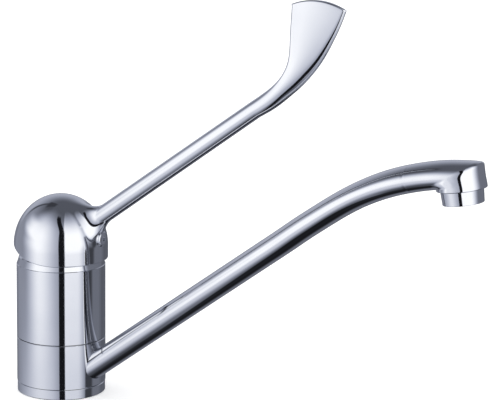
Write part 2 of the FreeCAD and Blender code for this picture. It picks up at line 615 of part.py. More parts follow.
rear_relief = cut("rear_relief", box("relief_block", 62.0, 80.0, 60.0, d.relief_x - 62.0, -40.0, d.skirt_low - 40.0), [
    cylinder("relief_round", d.relief_radius, 90.0, d.relief_x, 45.0, d.skirt_low + d.relief_radius,
             (1, 0, 0), 90.0)])
shell = cut("dome_shell", fuse("dome_and_arm", [outside_shape, skirt, blade_shape]),
            [hollow_ball, hollow_skirt,
             box("below_dome", 80.0, 80.0, 40.0, -40.0, -40.0, d.skirt_low - 40.0),
             rear_relief])
boss = common("boss_inside", [
    fuse("boss_and_rib", [cylinder("stem_boss", 7.5, 24.0, 0.0, 0.0, 91.0),
                          cylinder("screw_rib", 5.5, 27.0, 0.0, 0.0, d.screw_z, (0, 1, 0), 90.0)]),
    cylinder("boss_limit", d.dome_inner + 0.5, 50.0, 0.0, 0.0, 70.0)])
boss_limit_ball = doc.addObject("Part::Sphere", "boss_limit_ball")
bind(boss_limit_ball, "Radius", d.dome_inner + 0.5)
place(boss_limit_ball, 0.0, 0.0, d.dome_z)
boss_in = common("boss_in_dome", [boss, boss_limit_ball])
handle = cut("lever_handle_part", fuse("handle_blank", [shell, boss_in]), [
    box("stem_socket", 8.1, 8.1, 16.3, -4.05, -4.05, 85.0),
    cylinder("screw_hole", d.screw_radius + 0.05, 30.0, 3.5, 0.0, d.screw_z, (0, 1, 0), 90.0),
    cylinder("plug_hole", 4.0, 12.0, 20.9, 0.0, d.screw_z, (0, 1, 0), 90.0),
    cylinder("plug_seat", d.plug_radius + 0.1, 10.0, 25.9, 0.0, d.screw_z, (0, 1, 0), 90.0)])
node(handle, "lever_handle")

node(cut("grub_screw_part", cylinder("grub_screw_rod", d.screw_radius, 8.0, 4.02, 0.0, d.screw_z, (0, 1, 0), 90.0),
         [cylinder("grub_screw_socket", 1.5, 5.0, 8.5, 0.0, d.screw_z, (0, 1, 0), 90.0)]), "grub_screw")

plug = turned("indicator_plug", [
    (0, 21.2), (3.9, 21.2), (3.9, 26.0), (d.plug_radius, 26.0), (d.plug_radius, d.plug_front - 1.3),
    (d.plug_radius - 0.2, d.plug_front - 0.75), (d.plug_radius - 0.7, d.plug_front - 0.35),
    (d.plug_radius - 1.6, d.plug_front - 0.1), (2.2, d.plug_front), (1.3, d.plug_front), (1.3, d.plug_front - 1.5), (0, d.plug_front - 1.5)])
plug.Placement = FreeCAD.Placement(FreeCAD.Vector(0, 0, d.screw_z.value),
                                   FreeCAD.Rotation(FreeCAD.Vector(0, 1, 0), 90.0))
bind(plug, "Placement.Base.z", d.screw_z)
node(plug, "indicator_plug")

# ---------------------------------------------------------------- recompute, check, write
doc.recompute()
for obj in doc.Objects:
    if "Invalid" in obj.State or "Error" in obj.State:
        raise RuntimeError("failed object: %s %s" % (obj.Name, obj.State))
for name, obj in NODES.items():
    shape = obj.Shape
    if shape.isNull() or not shape.isValid() or not shape.Solids:
        raise RuntimeError("bad shape: " + name)
for name, obj in NODES.items():
    shape = obj.Shape
    shape.exportStep("parts/%s.step" % name)
    bb = shape.BoundBox
    print("%-20s solids %d volume %.1f  x %.2f..%.2f y %.2f..%.2f z %.2f..%.2f" % (
        name, len(shape.Solids), shape.Volume, bb.XMin, bb.XMax, bb.YMin, bb.YMax, bb.ZMin, bb.ZMax))
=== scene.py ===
import math

import bmesh
import bpy
import numpy as np
from mathutils import Matrix, Vector


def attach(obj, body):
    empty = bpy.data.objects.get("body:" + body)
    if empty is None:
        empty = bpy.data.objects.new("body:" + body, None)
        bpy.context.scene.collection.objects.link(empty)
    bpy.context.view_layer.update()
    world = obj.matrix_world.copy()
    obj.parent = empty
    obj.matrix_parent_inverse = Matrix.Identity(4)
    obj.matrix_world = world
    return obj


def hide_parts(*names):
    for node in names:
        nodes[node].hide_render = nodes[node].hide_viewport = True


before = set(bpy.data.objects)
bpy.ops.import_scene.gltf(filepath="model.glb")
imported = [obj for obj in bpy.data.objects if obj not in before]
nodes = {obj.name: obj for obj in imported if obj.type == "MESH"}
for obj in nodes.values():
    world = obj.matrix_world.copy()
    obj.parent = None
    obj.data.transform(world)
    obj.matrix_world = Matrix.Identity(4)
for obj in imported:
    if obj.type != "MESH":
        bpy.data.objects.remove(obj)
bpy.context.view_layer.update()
MM = 0.001

# ------------------------------------------------------------------ materials


def new_material(name):
    m = bpy.data.materials.new(name)
    m.use_nodes = True
    nt = m.node_tree
    bsdf = nt.nodes["Principled BSDF"]
    return m, nt, bsdf


def noise(nt, scale, detail=3.0, rough=0.5, stretch=(1, 1, 1)):
    tex = nt.nodes.new("ShaderNodeTexCoord")
    mp = nt.nodes.new("ShaderNodeMapping")
    mp.inputs["Scale"].default_value = stretch
    n = nt.nodes.new("ShaderNodeTexNoise")
    n.inputs["Scale"].default_value = scale
    n.inputs["Detail"].default_value = detail
    n.inputs["Roughness"].default_value = rough
    nt.links.new(tex.outputs["Object"], mp.inputs["Vector"])
    nt.links.new(mp.outputs["Vector"], n.inputs["Vector"])
    return n.outputs["Fac"]


def spread(nt, fac, low, high, a=0.0, b=1.0):
    r = nt.nodes.new("ShaderNodeMapRange")
    r.inputs["From Min"].default_value = a
    r.inputs["From Max"].default_value = b
    r.inputs["To Min"].default_value = low
    r.inputs["To Max"].default_value = high
    nt.links.new(fac, r.inputs["Value"])
    return r.outputs["Result"]


def two_colours(nt, fac, c1, c2):
    mix = nt.nodes.new("ShaderNodeMix")
    mix.data_type = "RGBA"
    mix.inputs["A"].default_value = (*c1, 1)
    mix.inputs["B"].default_value = (*c2, 1)
    nt.links.new(fac, mix.inputs["Factor"])
    return mix.outputs["Result"]


def bump(nt, bsdf, height, strength, distance):
    b = nt.nodes.new("ShaderNodeBump")
    b.inputs["Strength"].default_value = strength
    b.inputs["Distance"].default_value = distance
    nt.links.new(height, b.inputs["Height"])
    nt.links.new(b.outputs["Normal"], bsdf.inputs["Normal"])


def chrome(name, c1=(0.80, 0.81, 0.84), c2=(0.76, 0.775, 0.81), low=0.045, high=0.085):
    """Polished chrome: slightly cool, with faint cloudy wiping marks in its gloss."""
    m, nt, bsdf = new_material(name)
    bsdf.inputs["Metallic"].default_value = 1.0
    cloud = noise(nt, 45.0, 3.0, 0.55)
    nt.links.new(two_colours(nt, spread(nt, cloud, 0, 1, 0.3, 0.7), c1, c2), bsdf.inputs["Base Color"])
    wipe = noise(nt, 90.0, 4.0, 0.6, (1.0, 1.0, 0.25))
    nt.links.new(spread(nt, wipe, low, high, 0.3, 0.7), bsdf.inputs["Roughness"])
    return m


def plain(name, c1, c2, low, high, metal=0.0, scale=120.0, depth=0.00006, stretch=(1, 1, 1)):
    m, nt, bsdf = new_material(name)
    bsdf.inputs["Metallic"].default_value = metal
    n = noise(nt, scale, 4.0, 0.6, stretch)
    nt.links.new(two_colours(nt, spread(nt, n, 0, 1, 0.3, 0.7), c1, c2), bsdf.inputs["Base Color"])
    nt.links.new(spread(nt, n, low, high, 0.3, 0.7), bsdf.inputs["Roughness"])
    fine = noise(nt, scale * 6.0, 2.0, 0.6, stretch)
    bump(nt, bsdf, fine, 0.4, depth)
    return m


CHROME = chrome("chrome_polished")
MATERIALS = {
    "rubber": plain("seal_rubber", (0.018, 0.018, 0.019), (0.035, 0.035, 0.037), 0.55, 0.75),
    "glide": plain("glide_plastic", (0.72, 0.72, 0.69), (0.80, 0.80, 0.77), 0.35, 0.5),
    "grey": plain("insert_plastic", (0.62, 0.64, 0.66), (0.70, 0.72, 0.74), 0.3, 0.45),
    "steel": plain("screen_steel", (0.45, 0.45, 0.46), (0.56, 0.56, 0.57), 0.22, 0.36, 1.0),
    "black": plain("cartridge_plastic", (0.035, 0.035, 0.04), (0.06, 0.06, 0.065), 0.35, 0.5),
    "housing": plain("housing_plastic", (0.55, 0.55, 0.53), (0.64, 0.64, 0.62), 0.35, 0.5),
    "ceramic": plain("white_ceramic", (0.80, 0.79, 0.75), (0.86, 0.85, 0.82), 0.08, 0.16, 0.0, 60.0, 0.00001),
    "brass": plain("turned_brass", (0.62, 0.46, 0.2), (0.74, 0.57, 0.28), 0.2, 0.34, 1.0, 90.0, 0.00004, (1, 1, 8)),
    "red": plain("limit_plastic", (0.55, 0.06, 0.05), (0.66, 0.09, 0.07), 0.35, 0.5),
}
USES = {
    "base_gasket": "rubber", "o_ring_lower": "rubber", "o_ring_upper": "rubber", "aerator_gasket": "rubber",
    "inlet_seals": "rubber", "outlet_seal": "rubber", "glide_ring_lower": "glide", "glide_ring_upper": "glide",
    "aerator_insert": "grey", "aerator_screen": "steel", "cartridge_base": "black", "disc_carrier": "black",
    "rotor": "black", "cartridge_housing": "housing", "fixed_ceramic_disc": "ceramic",
    "moving_ceramic_disc": "ceramic", "pivot_pin": "steel", "grub_screw": "steel", "stem": "brass",
    "cartridge_nut": "brass", "hot_limit_ring": "red",
}


def paint(obj, material):
    obj.data.materials.clear()
    obj.data.materials.append(material)


for name, obj in nodes.items():
    paint(obj, MATERIALS[USES[name]] if name in USES else CHROME)

# ------------------------------------------------------------------ the handle's chrome skin

UP_ANGLE = math.radians(35.9)
ARM_DIR = np.array([math.cos(UP_ANGLE), 0.0, math.sin(UP_ANGLE)])
ARM_UP = np.array([-math.sin(UP_ANGLE), 0.0, math.cos(UP_ANGLE)])
SIDE = np.array([0.0, 1.0, 0.0])
ARM_BASE = np.array([0.0, 0.0, 87.4])
DOME_Z, DOME_R, DOME_H = 87.5, 27.55, 29.85
SKIRT, RELIEF_X, RELIEF_R, CAVITY_R, CAVITY_Z = 79.9, 12.0, 79.0, 26.15, 89.2
AROUND = 144


def dome_gap(p):
    """Distance from the dome: egg-shaped above its waist, a cylinder below."""
    r = np.hypot(p[..., 0], p[..., 1])
    z = np.maximum(p[..., 2] - DOME_Z, 0.0)
    q = np.hypot(r / DOME_R, z / DOME_H)
    return q * (q - 1.0) / np.maximum(np.hypot(r / DOME_R ** 2, z / DOME_H ** 2), 1e-9)


def rod_radius(s):
    return 5.25 - 0.25 * np.clip((s - 12.0) / 148.0, 0.0, 1.0)


def handle_gap(p, top=12.0, low=11.0, sides=6.0):
    """Dome and rod melted together, with a wider melt above the rod than beside and under it."""
    v = p - ARM_BASE
    n, y = v @ ARM_UP, v[..., 1]
    w = np.hypot(n, y)
    a, b = dome_gap(p), w - rod_radius(v @ ARM_DIR)
    c = n / (w + 1e-9)
    k = sides + (top - sides) * np.clip(c, 0, 1) ** 2 + (low - sides) * np.clip(-c, 0, 1) ** 2
    return np.maximum(k, np.minimum(a, b)) - np.hypot(np.maximum(k - a, 0), np.maximum(k - b, 0))


def reach(directions):
    """Point of the skin along each direction from the foot of the rod's axis."""
    lo = np.full(directions.shape[:-1], 2.0)
    steps = np.linspace(2.0, 64.0, 90)
    hit = np.full(lo.shape, 64.0)
    open_ = np.ones(lo.shape, bool)
    for t in steps:
        out = handle_gap(ARM_BASE + directions * t) > 0
        now = out & open_
        hit[now] = t
        open_ &= ~out
    a, b = hit - (steps[1] - steps[0]), hit.copy()
    for _ in range(26):
        m = 0.5 * (a + b)
        out = handle_gap(ARM_BASE + directions * m[..., None]) > 0
        b = np.where(out, m, b)
        a = np.where(out, a, m)
    return ARM_BASE + directions * (0.5 * (a + b))[..., None]


def rim_height(x):
    """Height of the skirt's lower edge, which rises at the back."""
    return np.where(x < RELIEF_X, SKIRT + RELIEF_R - np.sqrt(RELIEF_R ** 2 - np.minimum(x - RELIEF_X, 0) ** 2), SKIRT)


def dome_rings(edge=0.55, count=150):
    """Rings of the skin from the rod, over the dome, round the skirt's edge and up its inside."""
    om = np.linspace(0.0, 2.0 * math.pi, AROUND, endpoint=False)
    cross = np.cos(om)[:, None] * ARM_UP + np.sin(om)[:, None] * SIDE

    def aim(psi):
        return np.cos(psi)[..., None] * ARM_DIR + np.sin(psi)[..., None] * cross

    first = math.radians(7.2)
    a, b = np.full(AROUND, first), np.full(AROUND, math.radians(175.0))
    for _ in range(30):
        m = 0.5 * (a + b)
        p = reach(aim(m))
        below = p[:, 2] < rim_height(p[:, 0]) + edge
        b = np.where(below, m, b)
        a = np.where(below, a, m)
    last = 0.5 * (a + b)
    rings = [reach(aim(first + (last - first) * t ** 1.55)) for t in np.linspace(0.0, 1.0, count)]
    end = rings[-1]
    radial = end * (1, 1, 0) / np.hypot(end[:, 0], end[:, 1])[:, None]
    for q in np.radians([18, 36, 54, 72, 90]):
        p = end + radial * edge * (math.cos(q) - 1.0)
        p[:, 2] = end[:, 2] - edge * math.sin(q)
        rings.append(p)
    r = np.hypot(rings[-1][:, 0], rings[-1][:, 1])
    inner_r = CAVITY_R + 0.25
    floor_ring = radial * inner_r
    floor_ring[:, 2] = rim_height(floor_ring[:, 0])
    rings.append(floor_ring)
    low = floor_ring[:, 2] + 0.25
    rings.append(np.c_[radial[:, :2] * CAVITY_R, low])
    for t in np.linspace(0.08, 1.0, 30)[:-1]:
        # up the inside: straight to the middle of the hollow ball, then over it
        ang = (math.pi / 2) * t
        z = low + (CAVITY_Z + CAVITY_R * 0.999 - low) * math.sin(ang)
        rr = np.sqrt(np.maximum(CAVITY_R ** 2 - np.maximum(z - CAVITY_Z, 0.0) ** 2, 0.01))
        rings.append(np.c_[radial[:, :2] * rr[:, None], z])
    return rings, om


# centre line (x, z) of the blade, half thickness across, half width in its own plane
BLADE = np.array([(128.80, 180.65, 5.0, 5.0), (139.29, 187.76, 4.7, 5.35), (146.13, 193.60, 4.0, 5.46),
                  (151.57, 199.39, 3.3, 6.2), (156.57, 206.83, 2.8, 7.82), (160.65, 216.26, 2.5, 10.53),
                  (163.81, 227.10, 2.3, 13.23), (166.92, 239.11, 2.2, 15.65), (169.14, 251.13, 2.2, 17.78)])


def smooth_rows(rows, at):
    """Natural cubic through the rows (first two columns give the arc length)."""
    d = np.r_[0.0, np.cumsum(np.hypot(*np.diff(rows[:, :2], axis=0).T))]
    n = len(d)
    h = np.diff(d)
    m = np.zeros((n, n))
    m[0, 0] = m[-1, -1] = 1.0
    rhs = np.zeros((n, rows.shape[1]))
    for i in range(1, n - 1):
        m[i, i - 1:i + 2] = h[i - 1], 2 * (h[i - 1] + h[i]), h[i]
        rhs[i] = 6 * ((rows[i + 1] - rows[i]) / h[i] - (rows[i] - rows[i - 1]) / h[i - 1])
    k = np.linalg.solve(m, rhs)
    at = np.clip(np.asarray(at, float), 0, d[-1])
    i = np.clip(np.searchsorted(d, at) - 1, 0, n - 2)
    a, b = (d[i + 1] - at)[..., None], (at - d[i])[..., None]
    hh = h[i][..., None]
    return (k[i] * a ** 3 + k[i + 1] * b ** 3) / (6 * hh) + (rows[i] / hh - k[i] * hh / 6) * a + (
        rows[i + 1] / hh - k[i + 1] * hh / 6) * b


def blade_surface(dist, om, total):
    """Blade point at an arc length (one per angle) and angle round its section."""
    c = smooth_rows(BLADE, dist)
    e = 0.25
    way = smooth_rows(BLADE, dist + e)[:, :2] - smooth_rows(BLADE, dist - e)[:, :2]
    way /= np.hypot(way[:, 0], way[:, 1])[:, None]
    half, wide = c[:, 2], c[:, 3]
    u = np.cos(om)
    # round where it leaves the rod, a thin lens with rounded edges further on
    f = np.clip((dist - 2.0) / 52.0, 0, 1)
    f = f * f * (3 - 2 * f)
    gone = wide * (1 - np.abs(u))
    round_off = np.sqrt(np.clip(1 - (1 - np.minimum(gone / 1.3, 1.0)) ** 2, 0, 1))
    # the thin plate is dished: its front falls away to the outer edge, its back to the inner edge
    t = (1.0 - u) / 2.0
    front = -half * (1.0 - 1.05 * np.clip((t - 0.25) / 0.75, 0, 1) ** 2)
    rear = half * (1.0 - 1.05 * np.clip((0.75 - t) / 0.75, 0, 1) ** 2)
    # its outer front edge rolls over, more widely lower down
    band = 5.2 - 4.0 * np.clip((dist - 38.0) / 50.0, 0, 1)
    front = front + 0.5 * np.maximum(band - wide * (1.0 + u), 0.0) ** 2 / (2.0 * band)
    plate = (front + rear) / 2 + np.sign(np.sin(om)) * round_off * (rear - front) / 2
    y = np.sin(om) * half * (1 - f) + plate * f
    n = wide * u
    return np.c_[c[:, 0] - way[:, 1] * n, y, c[:, 1] + way[:, 0] * n]


def blade_rings(om, count=78):
    """Rings of the blade up to its curved end, which is rounded over and closed by the last ring."""
    total = float(np.sum(np.hypot(*np.diff(BLADE[:, :2], axis=0).T)))
    centre, radius = np.array([166.5, 207.3]), 38.0

    def beyond(dist, inset):
        p = blade_surface(dist, om, total)
        return np.hypot(p[:, 0] - centre[0], p[:, 2] - centre[1]) > radius - inset

    def end_at(inset):
        a, b = np.full(AROUND, 40.0), np.full(AROUND, total)
        for _ in range(26):
            m = 0.5 * (a + b)
            out = beyond(m, inset)
            b = np.where(out, m, b)
            a = np.where(out, a, m)
        return 0.5 * (a + b)

    fillet = 1.0
    stop = end_at(fillet)
    rings = []
    for t in np.linspace(0.0, 1.0, count):
        rings.append(blade_surface(1.0 + (stop - 1.0) * t, om, total))
    base = rings[-1]
    mirror = base[(AROUND - np.arange(AROUND)) % AROUND]
    middle = 0.5 * (base[:, 1] + mirror[:, 1])
    thick = np.abs(base[:, 1] - middle)
    out = np.c_[base[:, 0] - centre[0], np.zeros(AROUND), base[:, 2] - centre[1]]
    out /= np.linalg.norm(out, axis=1)[:, None]
    for q in np.radians([15, 30, 45, 60, 75, 90]):
        p = base + out * fillet * math.sin(q)
        p[:, 1] = middle + np.sign(base[:, 1] - middle) * np.maximum(thick - fillet * (1 - math.cos(q)), thick * 0.15)
        rings.append(p)
    return rings


def mesh_piece(name, verts, faces, material):
    mesh = bpy.data.meshes.new(name)
    mesh.from_pydata([tuple(float(c) * MM for c in v) for v in verts], [], faces)
    mesh.validate()
    bm = bmesh.new()
    bm.from_mesh(mesh)
    bmesh.ops.recalc_face_normals(bm, faces=bm.faces)
    bm.to_mesh(mesh)
    bm.free()
    obj = bpy.data.objects.new(name, mesh)
    bpy.context.scene.collection.objects.link(obj)
    paint(obj, material)
    return obj


def turned_piece(name, profile, axis="Z", at=(0, 0, 0), sides=96):
    """Closed solid of revolution from (radius, height) points; the ends lie on the axis."""
    verts, faces = [], []
    rings = []
    for r, h in profile:
        if r < 1e-6:
            rings.append([len(verts)])
            verts.append((0.0, 0.0, h))
        else:
            rings.append(list(range(len(verts), len(verts) + sides)))
            for i in range(sides):
                a = 2 * math.pi * i / sides
                verts.append((r * math.cos(a), r * math.sin(a), h))
    for lo, hi in zip(rings[:-1], rings[1:]):
        for i in range(sides):
            j = (i + 1) % sides
            if len(lo) == 1:
                faces.append((lo[0], hi[j], hi[i]))
            elif len(hi) == 1:
                faces.append((lo[i], lo[j], hi[0]))
            else:
                faces.append((lo[i], lo[j], hi[j], hi[i]))
    if axis == "X":
        verts = [(z, y, -x) for x, y, z in verts]
    verts = [(x + at[0], y + at[1], z + at[2]) for x, y, z in verts]
    return mesh_piece(name, verts, faces, CHROME)


def carve(obj, tool, kind):
    """Cut a tool from a piece, or join it on, and drop the tool."""
    m = obj.modifiers.new("carve", "BOOLEAN")
    m.operation = kind
    m.solver = "EXACT"
    m.object = tool
    deps = bpy.context.evaluated_depsgraph_get()
    new = bpy.data.meshes.new_from_object(obj.evaluated_get(deps))
    obj.modifiers.remove(m)
    old = obj.data
    obj.data = new
    bpy.data.meshes.remove(old)
    bpy.data.objects.remove(tool)


def smooth(obj, degrees=32.0):
    obj.data.polygons.foreach_set("use_smooth", [True] * len(obj.data.polygons))
    obj.data.set_sharp_from_angle(angle=math.radians(degrees))


def handle_skin():
    rings, om = dome_rings()
    start = rings[0]
    at = float(np.mean((start - ARM_BASE) @ ARM_DIR))
    cross = np.cos(om)[:, None] * ARM_UP + np.sin(om)[:, None] * SIDE
    rod = [ARM_BASE + ARM_DIR * s + cross * rod_radius(s) for s in np.linspace(at + 3.0, 159.2, 24)]
    blade = blade_rings(om)
    path = [r for r in reversed(rings)] + rod + blade
    verts = np.concatenate(path)
    faces = []
    n = AROUND
    for k in range(len(path) - 1):
        for i in range(n):
            j = (i + 1) % n
            faces.append((k * n + i, k * n + j, (k + 1) * n + j, (k + 1) * n + i))
    # close the hollow's roof with a fan and the blade's end with strips from face to face
    top = len(verts)
    verts = np.r_[verts, [[0.0, 0.0, CAVITY_Z + CAVITY_R]]]
    for i in range(n):
        faces.append((i, top, (i + 1) % n))
    b = (len(path) - 1) * n
    for i in range(n // 2):
        p, q = b + i, b + i + 1
        r, s = b + (n - i - 1) % n, b + (n - i) % n
        if i == 0:
            faces.append((p, q, r))
        elif i == n // 2 - 1:
            faces.append((p, q, s))
        else:
            faces.append((p, q, r, s))
    obj = mesh_piece("handle_skin", verts, faces, CHROME)
    boss = turned_piece("boss", [(0, 91.0), (7.5, 91.0), (7.5, 114.9), (0, 116.2)], sides=64)
    rib = turned_piece("rib", [(0, 0.0), (5.5, 0.0), (5.5, 26.3), (0, 26.3)], axis="X", at=(0, 0, 94.1), sides=48)
    carve(boss, rib, "UNION")
    carve(obj, boss, "UNION")
    socket = mesh_piece("socket", [(x, y, z) for z in (85.0, 101.3) for x, y in
                                   ((-4.05, -4.05), (4.05, -4.05), (4.05, 4.05), (-4.05, 4.05))],
                        [(0, 3, 2, 1), (4, 5, 6, 7), (0, 1, 5, 4), (1, 2, 6, 5), (2, 3, 7, 6), (3, 0, 4, 7)], CHROME)
    carve(obj, socket, "DIFFERENCE")
    hole = turned_piece("plug_hole", [(0, 3.5), (3.05, 3.5), (3.05, 20.9), (4.0, 20.9), (4.0, 25.9), (4.7, 25.9),
                                      (4.7, 36.0), (0, 36.0)], axis="X", at=(0, 0, 94.1), sides=64)
    carve(obj, hole, "DIFFERENCE")
    smooth(obj)
    paint(obj, CHROME)
    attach(obj, "lever")
    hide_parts("lever_handle")
    return obj


handle_skin()

# ------------------------------------------------------------------ the spout's chrome skin

SLOPE = math.tan(math.radians(36.0))
SPOUT = np.array([(16.0 + 11.0 * i, 26.4 + SLOPE * (16.0 + 11.0 * i - 36.0), 10.5 + 0.4 * (i / 12.0) ** 3, 7.25)
                  for i in range(13)] + [
    (160.0, 116.7, 11.15, 7.22), (171.0, 124.45, 11.4, 7.2), (182.0, 131.95, 11.65, 7.2), (193.0, 138.65, 11.95, 7.25),
    (204.0, 144.25, 12.2, 7.42), (215.0, 148.8, 12.45, 7.6), (226.0, 152.35, 12.7, 7.72), (237.0, 155.1, 12.85, 7.8),
    (248.0, 157.05, 13.0, 7.85), (259.0, 158.1, 13.0, 7.85)])
TILT = math.radians(8.5)
OUT_AXIS = np.array([-math.sin(TILT), 0.0, math.cos(TILT)])
OUT_FRONT = np.array([math.cos(TILT), 0.0, math.sin(TILT)])
RIM = np.array([256.6, 0.0, 150.1])
HEAD_R = 14.0
ROUND = 112
TUBE_LENGTH = float(np.sum(np.hypot(*np.diff(SPOUT[:, :2], axis=0).T)))
FINE = smooth_rows(SPOUT, np.linspace(TUBE_LENGTH - 75.0, TUBE_LENGTH, 90))
RUN_ON = FINE[-1, :2] - FINE[-2, :2]
RUN_ON = RUN_ON / np.hypot(*RUN_ON)
# beyond its last row the tube's crown carries on, turning down a little over the outlet
CROWN_END = np.array([[FINE[-1, 0] + RUN_ON[0] * d, FINE[-1, 1] + RUN_ON[1] * d - 0.0075 * d * d, FINE[-1, 2], FINE[-1, 3]]
                      for d in np.linspace(1.0, 26.0, 26)])
LINE = np.r_[FINE, CROWN_END]


def tube_gap(p, part):
    """Distance from the crown of the oval tube near its outlet end with straight sides under it (part 1),
    or from its belly with straight sides above it (part -1)."""
    flat = p.reshape(-1, 3)
    best = np.argmin((flat[:, None, 0] - LINE[None, :, 0]) ** 2 + (flat[:, None, 2] - LINE[None, :, 1]) ** 2, axis=1)
    i = np.clip(best, 1, len(LINE) - 2)
    t = LINE[i + 1, :2] - LINE[i - 1, :2]
    t /= np.hypot(t[:, 0], t[:, 1])[:, None]
    dx, dz = flat[:, 0] - LINE[i, 0], flat[:, 2] - LINE[i, 1]
    n = -t[:, 1] * dx + t[:, 0] * dz
    n = np.maximum(n * part, 0.0)
    grow = np.clip((flat[:, 0] - 229.0) / 25.0, 0, 1)
    a, b = LINE[i, 2] + 0.55 * grow * grow * (3 - 2 * grow), LINE[i, 3]
    q = np.hypot(flat[:, 1] / a, n / b)
    gap = q * (q - 1.0) / np.maximum(np.hypot(flat[:, 1] / a ** 2, n / b ** 2), 1e-9)
    return np.where(q < 1e-4, -np.minimum(a, b), gap).reshape(p.shape[:-1])


def melt(a, b, k):
    """Soft union that hardly swells where the two run side by side."""
    near = np.maximum(k - np.abs(a - b), 0.0) / k
    return np.minimum(a, b) - near * near * k / 4.0


def meet(a, b, k):
    return np.minimum(-k, np.maximum(a, b)) + np.hypot(np.maximum(k + a, 0), np.maximum(k + b, 0))


def head_gap(p):
    """Round outlet head under the tube's crown, melted into the tube's belly."""
    v = p - RIM
    h = v @ OUT_AXIS
    front = v @ OUT_FRONT
    u = np.clip((h - 0.5) / 7.0, 0, 1)
    u = u * u * (3 - 2 * u)
    across = np.hypot(front, v[..., 1]) - (HEAD_R - 0.45 * u)
    belly = meet(tube_gap(p, -1), front, 1.5)
    body = melt(belly, across, 0.5 + 3.2 * np.sin(math.pi * np.clip(h / 8.0, 0, 1)) ** 2)
    edge = np.clip((front + 3.0) / 9.0, 0, 1)
    return meet(body, tube_gap(p, 1), 0.05 + 1.3 * edge * edge * (3 - 2 * edge))


def slice_ring(centre, across, om):
    """Outline of the head in the plane through a centre, spanned by one direction and the side."""
    directions = np.cos(om)[:, None] * across + np.sin(om)[:, None] * SIDE
    a, b = np.zeros(len(om)), np.full(len(om), 34.0)
    hit = np.full(len(om), 34.0)
    open_ = np.ones(len(om), bool)
    steps = np.linspace(1.0, 34.0, 70)
    for t in steps:
        out = head_gap(centre + directions * t) > 0
        hit[out & open_] = t
        open_ &= ~out
    a, b = hit - (steps[1] - steps[0]), hit.copy()
    for _ in range(22):
        m = 0.5 * (a + b)
        out = head_gap(centre + directions * m[:, None]) > 0
        b = np.where(out, m, b)
        a = np.where(out, a, m)
    return centre + directions * (0.5 * (a + b))[:, None]


def tube_ring(dist, om, shrink=0.0):
    """Ring of the tube; dist is one arc length, or one for each angle."""
    dist = np.broadcast_to(np.asarray(dist, float), om.shape)
    c = smooth_rows(SPOUT, dist)
    way = smooth_rows(SPOUT, dist + 0.3)[:, :2] - smooth_rows(SPOUT, dist - 0.3)[:, :2]
    way /= np.hypot(way[:, 0], way[:, 1])[:, None]
    n = (c[:, 3] - shrink) * np.cos(om)
    y = (c[:, 2] - shrink) * np.sin(om)
    return np.c_[c[:, 0] - way[:, 1] * n, y, c[:, 1] + way[:, 0] * n]


def saddle(radius, om, shrink=0.0):
    """Ring where the tube meets a round wall about the body's axis."""
    a, b = np.full(len(om), 0.5), np.full(len(om), 30.0)
    for _ in range(30):
        m = 0.5 * (a + b)
        p = tube_ring(m, om, shrink)
        out = np.hypot(p[:, 0], p[:, 1]) > radius
        b = np.where(out, m, b)
        a = np.where(out, a, m)
    return 0.5 * (a + b)


def spout_skin():
    om = np.linspace(0.0, 2.0 * math.pi, ROUND, endpoint=False)
    rings = []
    tail = saddle(21.0, om, 1.25)
    rings.append(tube_ring(tail, om, 1.25))
    inner = saddle(26.02, om, 1.25)
    rings.append(tube_ring(inner, om, 1.25))
    outer = saddle(26.02, om)
    rings.append(tube_ring(outer, om))
    stop = TUBE_LENGTH - 33.0
    for t in np.linspace(0.0, 1.0, 150)[1:]:
        rings.append(tube_ring(outer + (stop - outer) * t, om))
    # square slices up to the inner corner of the head, then slices that swing round it
    pivot = RIM - OUT_FRONT * 17.6
    for d in np.linspace(stop + 1.2, TUBE_LENGTH, 400):
        c = smooth_rows(SPOUT, [d])[0]
        w = smooth_rows(SPOUT, [d])[0, :2] - smooth_rows(SPOUT, [d - 0.6])[0, :2]
        w /= np.hypot(*w)
        if (pivot[0] - c[0]) * w[0] + (pivot[2] - c[1]) * w[1] < 0:
            break
        last, last_way, last_c = d, w, c
    for d in np.linspace(stop + 1.0, last, 13):
        c = smooth_rows(SPOUT, [d])[0]
        w = smooth_rows(SPOUT, [d + 0.3])[0, :2] - smooth_rows(SPOUT, [d - 0.3])[0, :2]
        w /= np.hypot(*w)
        rings.append(slice_ring(np.array([c[0], 0.0, c[1]]), np.array([-w[1], 0.0, w[0]]), om))
    first = math.atan2(last_way[0], -last_way[1])
    far0 = math.hypot(last_c[0] - pivot[0], last_c[1] - pivot[2])
    for t in np.linspace(0.0, 1.0, 58)[1:]:
        ang = first + (TILT - first) * t
        e = np.array([math.cos(ang), 0.0, math.sin(ang)])
        far = far0 + (17.6 - far0) * t
        rings.append(slice_ring(pivot + e * far, e, om))
    # the rim: a small round, the flat face and the bore for the aerator
    base = rings[-1]
    middle = RIM
    out = base - middle
    size = np.linalg.norm(out, axis=1)[:, None]
    out = out / size
    rings[-1] = base + OUT_AXIS * 0.4
    for q in np.radians([30, 60, 90]):
        rings.append(base + OUT_AXIS * 0.4 * (1 - math.sin(q)) - out * 0.4 * (1 - math.cos(q)))
    for r, h in ((11.55, 0.0), (11.5, 8.4), (9.4, 8.5), (9.4, 12.0)):
        rings.append(middle + out * r + OUT_AXIS * h)
    verts = np.concatenate(rings)
    n = ROUND
    faces = []
    for k in range(len(rings) - 1):
        for i in range(n):
            j = (i + 1) % n
            faces.append((k * n + i, k * n + j, (k + 1) * n + j, (k + 1) * n + i))
    a, b = len(verts), len(verts) + 1
    verts = np.r_[verts, [rings[0].mean(axis=0)], [middle + OUT_AXIS * 12.0]]
    k = (len(rings) - 1) * n
    for i in range(n):
        faces.append((a, (i + 1) % n, i))
        faces.append((b, k + i, k + (i + 1) % n))
    obj = mesh_piece("spout_skin", verts, faces, CHROME)
    smooth(obj)
    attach(obj, "spout")
    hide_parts("spout_arm")
    return obj


spout_skin()

